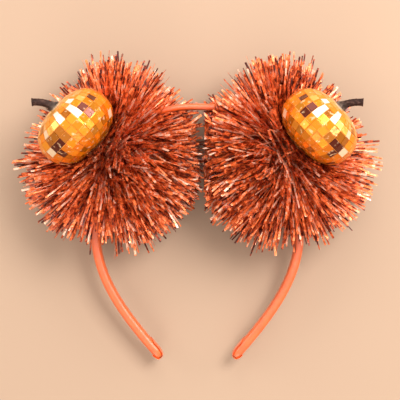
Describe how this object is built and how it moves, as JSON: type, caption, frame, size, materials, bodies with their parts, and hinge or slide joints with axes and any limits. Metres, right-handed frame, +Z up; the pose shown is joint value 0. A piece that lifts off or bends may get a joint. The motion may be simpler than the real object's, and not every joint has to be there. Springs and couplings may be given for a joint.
{
  "type": "pompom-eared headband with disco pumpkins",
  "caption": "Ribbon-covered springy headband whose ears are tinsel pompoms, each carrying a mirror-tiled pumpkin.",
  "frame": {"origin": "on the floor, under the middle of the whole object's box, in the mirror plane", "axes": "+X from the wearer's one ear to the other across the band (the left-hand ear in the view from above is at -X), +Y from the tips to the crown, +Z up from the floor through the lying headband, towards its front"},
  "size_m": [0.1984, 0.1724, 0.0756],
  "materials": {
    "band_strip": "satin",
    "ribbon_satin": "satin",
    "garland_wire": "satin",
    "tinsel_foil": "polished",
    "hot_glue": "gloss",
    "pumpkin_foam": "matte",
    "amber_mirror": "polished",
    "stem_bark": "satin"
  },
  "bodies": {
    "crown": {"band_core_crown": "band_strip", "ribbon_crown": "ribbon_satin"},
    "left_leg": {"band_core_left": "band_strip", "ribbon_left": "ribbon_satin", "ribbon_tab_left": "ribbon_satin", "garland_wire_left": "garland_wire", "tinsel_pompom_left": "tinsel_foil", "glue_bed_left": "hot_glue", "pumpkin_core_left": "pumpkin_foam", "tile_row_01_left": "amber_mirror", "tile_row_02_left": "amber_mirror", "tile_row_03_left": "amber_mirror", "tile_row_04_left": "amber_mirror", "tile_row_05_left": "amber_mirror", "tile_row_06_left": "amber_mirror", "tile_row_07_left": "amber_mirror", "tile_row_08_left": "amber_mirror", "tile_row_09_left": "amber_mirror", "tile_row_10_left": "amber_mirror", "tile_row_11_left": "amber_mirror", "stem_left": "stem_bark"},
    "right_leg": {"band_core_right": "band_strip", "ribbon_right": "ribbon_satin", "ribbon_tab_right": "ribbon_satin", "garland_wire_right": "garland_wire", "tinsel_pompom_right": "tinsel_foil", "glue_bed_right": "hot_glue", "pumpkin_core_right": "pumpkin_foam", "tile_row_01_right": "amber_mirror", "tile_row_02_right": "amber_mirror", "tile_row_03_right": "amber_mirror", "tile_row_04_right": "amber_mirror", "tile_row_05_right": "amber_mirror", "tile_row_06_right": "amber_mirror", "tile_row_07_right": "amber_mirror", "tile_row_08_right": "amber_mirror", "tile_row_09_right": "amber_mirror", "tile_row_10_right": "amber_mirror", "tile_row_11_right": "amber_mirror", "stem_right": "stem_bark"}
  },
  "joints": [
    {"name": "left_leg_flex", "type": "hinge", "parent": "crown", "child": "left_leg", "pos_m": [-0.02771, 0.05696, 0.02431], "axis": [0, 0.1045, -0.9945], "range_deg": [0, 20], "stiffness_Nm_per_rad": 0.8},
    {"name": "right_leg_flex", "type": "hinge", "parent": "crown", "child": "right_leg", "pos_m": [0.02771, 0.05696, 0.02431], "axis": [0, -0.1045, 0.9945], "range_deg": [0, 20], "stiffness_Nm_per_rad": 0.8}
  ]
}
